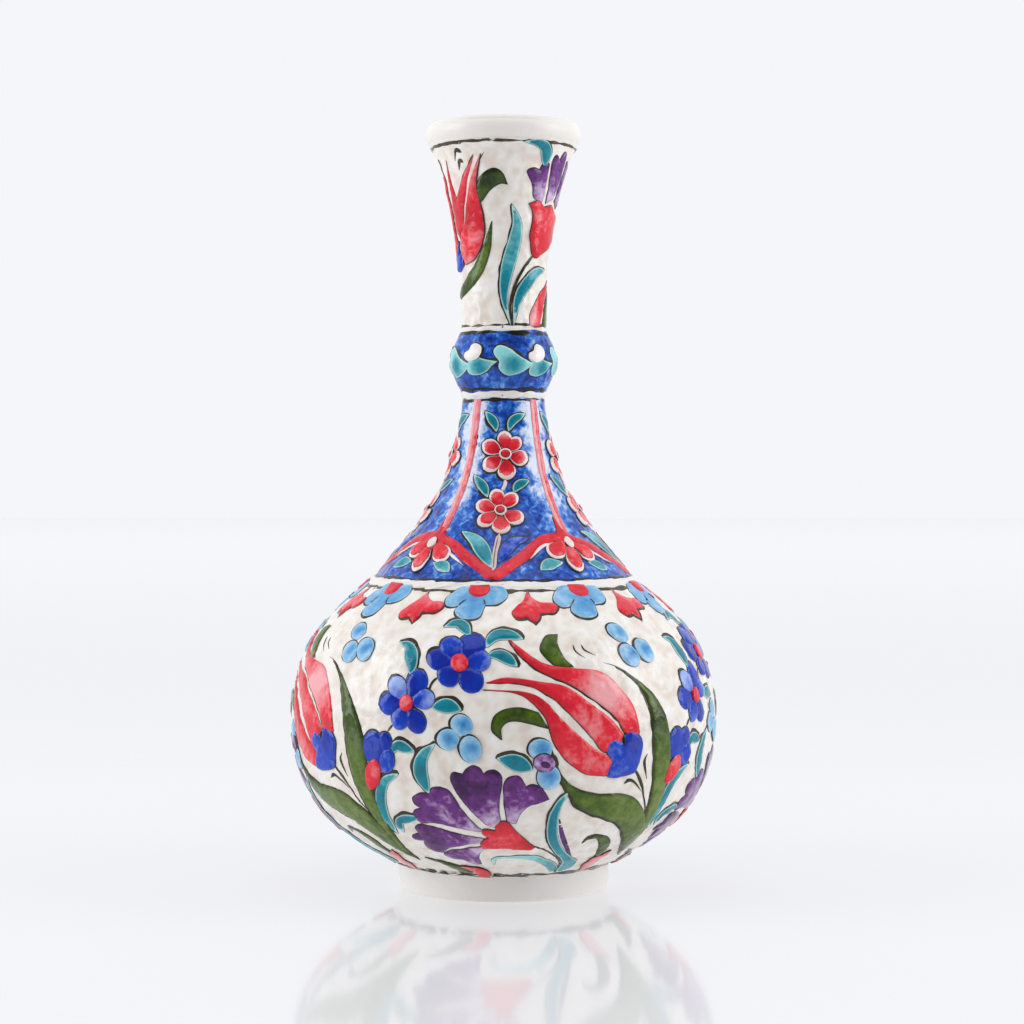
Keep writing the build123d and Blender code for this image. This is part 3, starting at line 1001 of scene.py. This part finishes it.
def rimmed_petal(paint, centre, direction, length, width, level):
    """A white petal with a dark outline and a red wash that fades to leave its rim white."""
    white = petal(centre, direction, length, width, 0.14)
    red = petal(centre, direction, length * 0.9, width * 0.82, 0.2)
    paint.fill("white", white, 0.5, 0.46, level=level, line=(0.7, 0.3), toward=(-0.3, -0.5))
    paint.fill("red", red, glow(centre, length * 0.85, 1.0, 0.16), 0.24, level=level + 2.4, line=(0, 0))


def draw_panel_flowers(paint):
    """Two red and white blossoms up the middle of a blue panel, with their stem and leaves."""
    upper = (92, 8, 4.6), (50, 7.4, 4.4), (345, 7.6, 5.4), (275, 8.7, 5.8), (216, 8.6, 5.4), (152, 8.2, 5.4)
    lower = (102, 8.4, 5), (54, 8.2, 5), (330, 8.2, 5.8), (272, 8.9, 6), (217, 9, 5.4), (162, 8.4, 5.6)
    for centre, petals in (((0.6, 48.2), upper), ((-0.8, 28.2), lower)):
        for number, (direction, length, width) in enumerate(petals):
            rimmed_petal(paint, centre, direction, length, width, number % 3)
        paint.fill("white", oval(centre, 1.9, 1.9), 0.5, 0.3, level=6, line=(0, 0))
        paint.fill("red", oval(centre, 1.2, 1.2), 0.4, 0.2, level=8.5, line=(0.2, 0.2))
    leaves = (
        ([(-2.2, 55.8), (-2.9, 58.8), (-5.8, 62.6)], 3.0), ([(1.6, 56), (3.2, 59.6), (7.2, 61.8)], 3.0),
        ([(-5, 33.4), (-6.4, 37), (-9.6, 41.2)], 3.4), ([(3.2, 35), (5, 37.8), (8.6, 39.4)], 3.2),
        ([(-3.6, 5.6), (-6, 11.5), (-8.6, 16.5), (-13.4, 20.2)], 5.2),
    )
    blue_leaf = leaf([(-1.4, 8), (1, 13), (3.8, 16.2), (8, 17.6)], 4.2, 0.5)
    paint.fill("cobalt", blue_leaf, 0.6, 0.34, line=(0.7, 0.35), toward=(-0.6, 0.6))
    for spine, width in leaves:
        tone = glow(spine[1], 4, 0.75, 0.3)
        paint.fill("turquoise", leaf(spine, width, 0.5), tone, 0.34, line=(0.8, 0.35), toward=(-0.6, -0.6))
    stem = [(-3.2, 4.6), (-2.4, 12), (-1.2, 19.4)]
    paint.stroke("white", stem, 1.7, tone=0.35, start=0.1, end=0.1, crown=0.4)
    paint.line([(-3.1, 5), (-2.5, 12), (-1.5, 18.6)], 0.3, level=3, tone=0.8)
    upper_stem = [(0.7, 39.6), (0.5, 37.6), (-0.4, 35.6)]
    paint.stroke("white", upper_stem, 1.1, tone=0.4, start=0.1, end=0.1, crown=0.35)
    for x, y in ((-8.9, 54), (-9.4, 51.8), (-11.8, 41), (-12.8, 39), (-14.2, 36.6), (-16.6, 29)):
        paint.line([(x + 0.3, y + 0.9), (x - 0.4, y - 0.8)], 1.0, tone=0.1)


def draw_panel_arms(paint):
    """The red arms that meet in a V at the panel's foot, each with a white line under it."""
    left_arm = [(-3.2, 1.4), (-6.6, 5.6), (-11.6, 9.8), (-15.4, 14), (-20, 16.8), (-24.6, 19.4)]
    right_arm = [(-3.6, 1.4), (2, 6.4), (7.4, 11.4), (12.6, 16.6), (17.4, 17.7), (22.4, 19.6)]
    for arm in (left_arm, right_arm):
        paint.stroke("red", arm, 4.0, tone=0.4, start=0.06, end=0.06, crown=0.5)
    left_edge = [(-12.6, 6.6), (-16.6, 10.4), (-19.4, 13.2), (-24, 13.8)]
    right_edge = [(8.6, 9.4), (12.8, 14.2), (17.6, 14.9), (20.6, 15.6)]
    for edge in (left_edge, right_edge):
        paint.stroke("white", edge, 1.1, tone=0.7, crown=0.3, level=1)
    for arm in ([(-12, 5.9), (-16.6, 9.6), (-19.6, 12.4)], [(3.5, 5.2), (9, 9.2), (12.6, 13.4)]):
        paint.line(arm, 0.4)


def draw_upright(panel, paint):
    """A pink and red line up the edge of a panel, and the half blossom and leaves at its foot."""
    base = paint.chart = Chart(PANEL_FEET[panel], TRUMPET_ORIGIN)
    points = []
    for share in np.linspace(UPRIGHT_START, 1, 8):
        along = SHOULDER + (COLLAR - UPRIGHT_END_GAP - SHOULDER) * share
        across = (upright_turn(panel, share) - base.turn) * float(radius_at(along))
        points.append((across, along - TRUMPET_ORIGIN))
    line = smooth(*points, closed=False, step=STROKE_STEP)
    left = sides(line)
    red = paint.layers["red"]
    red.ribbon(base, line, left, 0.3, 1.3, tone=0.68, crown=0.4, level=1)
    red.ribbon(base, line, left, 1.5, -0.2, tone=1.05, crown=0.35, level=1)
    junction = smooth((-5, 17, 0), (-2, 20), (-0.6, 26, 0), (1.2, 20.5), (6, 16.6, 0), (3, 13), (-3, 13.2))
    paint.fill("red", junction, 0.4, 0.3, level=1, line=(0.2, 0))
    lobes = (((-1.5, 15.5), 216, 9.2, 6.2), ((-0.4, 14.5), 265, 11, 6), ((1.5, 14.8), 318, 9.6, 6.0))
    for number, (centre, direction, length, width) in enumerate(lobes):
        outline = petal(centre, direction, length, width, 0)
        inner = petal(centre, direction, length * 0.9, width * 0.84, 0)
        level = 1 + number % 2
        paint.fill("white", outline, 0.65, 0.35, level=level, line=(0.5, 0.25), toward=(-0.3, -0.8))
        tone = fade(centre, (centre[0], 6), 0.45, 0.55)
        paint.fill("red", inner, tone, 0.3, level=level + 2.5, line=(0, 0))
    paint.fill("white", oval((0, 15), 1.6, 2.2), 0.6, 0.3, level=7, line=(0, 0))
    for spine in ([(-5.6, 7.6), (-10, 7.3), (-14.6, 4.8)], [(4.6, 7.4), (8, 6.6), (12.2, 4)]):
        paint.fill("turquoise", leaf(spine, 4, 0.5), glow(spine[1], 4, 0.8, 0.5), 0.3, line=(0.5, 0.2))


def make_trumpet():
    paint = Paint("trumpet", "red", "white", "turquoise", "cobalt")
    for panel, foot in enumerate(PANEL_FEET):
        after = PANEL_FEET[(panel + 1) % 4] + (360 if panel == 3 else 0)
        stretch = (after - foot) / PANEL_DRAWN_WIDTH
        centre = (foot + after) / 2 + 2 * stretch
        seed = panel and panel + 40
        paint.chart = Chart(centre, TRUMPET_ORIGIN, stretch, seed, unevenness=0.4)
        draw_panel_arms(paint)
        draw_panel_flowers(paint)
        draw_upright(panel, paint)
    paint.build()


# ---------------------------------------------------------------- knop

WAVE_PAIRS = 5


def make_knop():
    """A scroll of turquoise waves round the knop, every second one with a white curl on its back."""
    paint = Paint("knop", "turquoise", "white")
    plain = smooth(
        (-2.6, 12.9), (-3.1, 14.4), (-2.2, 15.9), (-0.4, 16.3), (2.4, 15.1), (4.6, 13.3), (7, 11.9),
        (9.9, 10.7, 0), (8.4, 9.3), (6.2, 8), (3.8, 7), (1.4, 6.7), (-0.4, 7.6), (-1.5, 9.4), (-1.3, 11.2),
    )
    curled = smooth(
        (-13.5, 12.2), (-13.6, 13.8), (-11.6, 14.8), (-10.4, 16.4), (-9, 17.1), (-7.2, 16.2), (-6.9, 14.4),
        (-7.8, 12.6), (-5.6, 11.8), (-1.9, 11.2, 0), (-3.6, 9.9), (-5.2, 8.2), (-7.4, 7.1), (-9.8, 6.9),
        (-11.9, 7.6), (-12.7, 9.4), (-12.2, 11.2),
    )
    curl = smooth(
        (-13.4, 12.4), (-13.4, 13.9), (-11.6, 14.8), (-10.4, 16.4), (-9, 17), (-7.2, 16.1), (-6.9, 14.3),
        (-8, 12.5), (-10.6, 11.5),
    )
    for number in range(WAVE_PAIRS):
        wobble = 2.0 * noise.noise(Vector((number * 1.7, 3, 8))) if number else 0
        seed = number and number + 60
        paint.chart = Chart(number * 360 / WAVE_PAIRS + wobble, COLLAR, seed=seed, unevenness=0.5)
        for outline, core in ((plain, (3.5, 10)), (curled, (-7.6, 9.7))):
            tone = glow(core, 3.6, 1.1, 0.42)
            paint.fill("turquoise", outline, tone, 0.4, line=(0.8, 0.3), toward=(0.4, 0.6))
        paint.fill("white", curl, 1.0, 0.3, level=3, line=(0.5, 0), toward=(0.6, 0.6))
    paint.build()


# --------------------------------------------------------- flared neck

# The turn, in degrees, of the carnation at the back
BACK_CARNATION = 118


def draw_neck_tulip(paint):
    """An upright red tulip with a cobalt foot, and the olive leaves beside it."""
    right = smooth(
        (-14, 21, 0), (-10, 22.6), (-7.1, 27), (-6.2, 33), (-7.6, 40.5), (-9, 47), (-7.4, 56.5, 0),
        (-10.6, 49.5), (-12.6, 42), (-14, 35), (-16.6, 28.5), (-16.4, 24.5),
    )
    left = np.stack([-36.6 - right[:, 0], right[:, 1]], -1)
    middle = smooth(
        (-17.4, 29.5, 0), (-15.2, 33), (-14.2, 38), (-13.3, 43), (-12, 49), (-9.8, 56, 0), (-13.8, 50),
        (-16, 46), (-18, 43), (-20.6, 49), (-22.4, 55.5, 0), (-21.8, 44), (-20.2, 34),
    )
    foot = smooth(
        (-15, 21, 0), (-15.8, 25.6), (-17.4, 24.4, 0), (-18.4, 29), (-19.6, 24.6, 0), (-21.4, 26),
        (-21.8, 21), (-18.4, 19),
    )
    paint.fill("red", middle, glow((-17, 40), 8, 0.55, 0.25), 0.34, line=(0.3, 0))
    paint.fill("red", right, glow((-11, 36), 9, 0.7, 0.35), 0.42, level=1, line=(0.45, 0), toward=(1, 0.1))
    paint.fill("red", left, glow((-26, 30), 8, 0.5, 0.35), 0.42, level=1, line=(0.3, 0))
    paint.fill("cobalt", foot, 0.4, 0.34, level=3, line=(0.2, 0))
    hook = smooth(
        (-7.6, 40.3, 0), (-8.8, 45), (-7.5, 49), (-3.5, 51.5), (-0.3, 50.2), (1.5, 46.2, 0), (-1, 46.4),
        (-4, 44.5), (-6, 42),
    )
    paint.fill("green", hook, glow((-4, 49), 4, 0.3, 0.1), 0.34, line=(0.2, 0))
    spine = [(-22, 10.5), (-15, 13.6), (-9.4, 18), (-5.6, 25), (-3.5, 34.6)]
    paint.fill("green", leaf(spine, 4.4, 0.36, 0.9), glow((-14, 14), 5, 0.6, 0.3), 0.32, line=(0.3, 0))
    hooks = ([(-17.2, 54.8), (-16.6, 58.4), (-14.2, 57.4)], [(-15.6, 51.6), (-15.2, 54.8), (-13.6, 54)])
    for points in hooks:
        paint.line(points, 1.3, start=0.5, end=0.2)
    for points in ([(-12.4, 50), (-11.4, 54), (-9.8, 56.6)], [(-9.2, 48), (-8.4, 53), (-6.2, 57)]):
        paint.line(points, 0.6)


def draw_neck_carnation(paint):
    """A purple carnation in a red calyx, its dark stem, and the turquoise leaves along it."""
    calyx = smooth(
        (9.6, 24.2, 0), (8.9, 30), (9.9, 37), (8.4, 40.4, 0), (12, 41.5), (14.5, 39.7, 0), (19, 40.6),
        (21.4, 38.8, 0), (25, 38), (24.4, 32), (20, 27.6), (14.4, 24.6), (11.2, 22.9),
    )
    petals = (
        smooth(
            (13.6, 41, 0), (10.3, 42.4), (9.8, 46.5), (7.9, 50.4), (10, 51.8), (12.4, 51.4, 0), (14, 53.6),
            (16.4, 53.8, 0), (15.3, 46.5),
        ),
        smooth(
            (15.2, 40.8, 0), (16.9, 47), (17.6, 54.5), (19.8, 56.8), (21.8, 55.4, 0), (24, 58.4),
            (26, 57.5), (24.2, 50), (20, 42.6, 0),
        ),
        smooth(
            (21.2, 42, 0), (25.4, 49), (27.6, 55.5), (30.4, 55), (30.6, 51.6, 0), (33.6, 49.5),
            (30.5, 44.5), (24.5, 40, 0),
        ),
    )
    for outline, tone in zip(petals, (0.25, 0.4, 0.45)):
        shade = glow((15, 40), 8, tone, 1.0)
        paint.fill("purple", outline, shade, 0.34, line=(0.4, 0.1), toward=(-0.6, 0.5))
    paint.fill("red", calyx, glow((13, 36), 6, 0.35, 0.55), 0.42, level=2, line=(0.2, 0))
    paint.line([(10.6, 24.4), (6, 18.6), (3.4, 13), (2.2, 7), (2.8, 0.6)], 0.9, start=0.1, end=0.3, level=1)
    leaves = (
        ([(2.4, 0.6), (0.3, 10), (1.2, 19), (3.6, 28), (4.4, 34), (2.7, 40)], 4.4, 0.6, (-1, 0.2)),
        ([(3.2, 0.6), (4.6, 9), (8, 14.8), (12.2, 18.6), (17, 19.4)], 3.8, 0.6, (-0.5, 0.8)),
        ([(6.4, 60.6), (11.6, 60.5), (14.7, 58.2), (14, 52.6)], 4.4, 0.6, (0.7, 0.7)),
        ([(27, 22), (31, 30), (30, 38)], 4.4, 0.5, (1, 0)),
    )
    for spine, width, fullest, back in leaves:
        tone = glow(spine[1], 9, 0.66, 0.3)
        paint.fill("turquoise", leaf(spine, width, fullest), tone, 0.34, line=(0.55, 0.15), toward=back)
    low_petal = smooth(
        (9, 1, 0), (8.9, 4), (11, 8.4), (15, 13), (21, 16.6, 0), (17.6, 10), (14.6, 4), (13.6, 1, 0),
    )
    low_leaf = smooth((14.8, 1, 0), (16.2, 5), (19, 10.5), (24, 14.6, 0), (25.4, 8), (23, 1, 0))
    paint.fill("red", low_petal, fade((9, 6), (14, 6), 1.0, 0.4), 0.34, line=(0.2, 0))
    paint.fill("green", low_leaf, 0.35, 0.3, line=(0.2, 0))


def make_flared_neck():
    paint = Paint("neck", "red", "green", "turquoise", "cobalt", "purple")
    paint.chart = Chart(0, KNOP_TOP)
    draw_neck_tulip(paint)
    draw_neck_carnation(paint)
    paint.chart = Chart(BACK_CARNATION, KNOP_TOP, seed=81, unevenness=0.5)
    draw_neck_carnation(paint)
    paint.build()


# ------------------------------------------------------ bands and lines

FOOT_LINE = 1.9


def make_bands():
    """White slip bands with hand-cut edges over the CAD bands, and the brush lines beside them."""
    bands = (
        ("shoulder_band", SHOULDER, 2.9, 0.35, 3),
        ("collar_band", COLLAR, 2.2, 0.4, 9),
        ("knop_band", KNOP_TOP, 1.5, 0.5, 15),
    )
    for name, along, width, raggedness, seed in bands:
        layer = Layer(f"{name}_slip", PLAIN_WHITE, "white_glaze")
        layer.ring(along, width, raggedness, seed, crown=0.42, tone=0.6)
        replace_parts(layer.build(), name)
    lines = Layer("brush_rings", LINE, "line_pigment")
    rings = (
        (SHOULDER - 2.6, 1.2, 0.9, 21, 0.5),
        (SHOULDER + 1.9, 1.0, 1.0, 27, 0.1),
        (COLLAR - 1.7, 0.9, 1.1, 33, 0.2),
        (COLLAR + 1.7, 1.2, 1.2, 39, 0.1),
        (KNOP_TOP - 1.6, 1.3, 1.2, 45, 0.0),
        (KNOP_TOP + 1.1, 0.9, 1.2, 51, 0.5),
        (WALL_END - 0.9, 1.0, 0.7, 57, 0.5),
        (FOOT_LINE, 2.8, 0.7, 63, 0.15),
    )
    for along, width, raggedness, seed, tone in rings:
        lines.ring(along, width, raggedness, seed, tone=tone)
    lines.build()


# ------------------------------------------------- frame and studio


def finish_frame():
    """Gives the CAD pieces that show, such as the lip, foot and inner walls, their glaze or clay."""
    for name, node in nodes.items():
        material = FOOT_CLAY if name == "foot_ring" else PLAIN_WHITE
        node.data.materials.clear()
        node.data.materials.append(material)


SURROUND = linear(245, 246, 250)
TABLE_COLOUR = linear(149, 149, 149)
TABLE_HALF = 6.0
TABLE_GLOW = 0.63
ROOM_FRONT = 0.38
MIDDLE = Vector((0, 0, 0.13))

CAMERA_DISTANCE = 0.758
CAMERA_HEIGHT = 0.136
CAMERA_OFFSET = 0.0028
AIM_HEIGHT = 0.1228
LENS = 80.9
SENSOR_WIDTH = 36


def add_camera():
    data = bpy.data.cameras.new("camera")
    data.lens = LENS
    data.sensor_width = SENSOR_WIDTH
    camera = place_object("camera", data)
    camera.location = (CAMERA_OFFSET, -CAMERA_DISTANCE, CAMERA_HEIGHT)
    aim = Vector((CAMERA_OFFSET, 0, AIM_HEIGHT)) - camera.location
    camera.rotation_euler = aim.to_track_quat("-Z", "Y").to_euler()
    bpy.context.scene.camera = camera


def add_soft_light(name, azimuth, elevation, distance, size, power):
    """An area light that looks at the vase's middle. Azimuth 0 is the camera's side, and 90 its right."""
    data = bpy.data.lights.new(name, "AREA")
    data.shape = "RECTANGLE"
    data.size, data.size_y = size
    data.energy = power
    light = place_object(name, data)
    turn, climb = math.radians(azimuth), math.radians(elevation)
    way = Vector((math.sin(turn) * math.cos(climb), -math.cos(turn) * math.cos(climb), math.sin(climb)))
    light.location = MIDDLE + distance * way
    light.rotation_euler = (MIDDLE - light.location).to_track_quat("-Z", "Y").to_euler()


def add_floor():
    """A pale glossy table, whose far edge melts into the white surroundings."""
    corners = [(x * TABLE_HALF, y * TABLE_HALF, 0) for x, y in ((-1, -1), (1, -1), (1, 1), (-1, 1))]
    mesh = bpy.data.meshes.new("studio_table")
    mesh.from_pydata(corners, [], [(0, 1, 2, 3)])
    material = bpy.data.materials.new("studio_table")
    material.use_nodes = True
    surface = material.node_tree.nodes["Principled BSDF"]
    for socket, value in (
        ("Base Color", TABLE_COLOUR),
        ("Roughness", 0.9),
        ("Specular IOR Level", 0),
        ("Coat Weight", 1),
        ("Coat Roughness", 0.09),
        ("Coat IOR", 1.36),
        ("Emission Color", SURROUND),
        ("Emission Strength", TABLE_GLOW),
    ):
        surface.inputs[socket].default_value = value
    mesh.materials.append(material)
    floor = place_object("studio_table", mesh)


def add_surroundings():
    """White surroundings behind and beside the vase, which get dimmer toward the camera's side."""
    world = bpy.data.worlds.new("studio")
    world.use_nodes = True
    tree = world.node_tree
    direction = tree.nodes.new("ShaderNodeTexCoord").outputs["Generated"]
    parts = tree.nodes.new("ShaderNodeSeparateXYZ")
    tree.links.new(direction, parts.inputs[0])
    dimming = tree.nodes.new("ShaderNodeMapRange")
    for name, value in (("From Min", -0.55), ("From Max", 0.05), ("To Min", ROOM_FRONT), ("To Max", 1.0)):
        dimming.inputs[name].default_value = value
    tree.links.new(parts.outputs["Y"], dimming.inputs["Value"])
    background = tree.nodes["Background"]
    background.inputs["Color"].default_value = SURROUND
    tree.links.new(dimming.outputs["Result"], background.inputs["Strength"])
    bpy.context.scene.world = world


def add_studio():
    bpy.context.scene.view_settings.view_transform = "Standard"
    add_surroundings()
    add_soft_light("softbox_right", 78, 20, 1.1, (0.55, 0.9), 4.9)
    add_soft_light("softbox_left", -78, 20, 1.1, (0.55, 0.9), 5.0)
    add_soft_light("overhead", 0, 75, 1.4, (1.2, 0.8), 3)
    add_floor()
    add_camera()


make_coats()
make_belly()
make_garland()
make_trumpet()
make_knop()
make_flared_neck()
make_bands()
finish_frame()
add_studio()
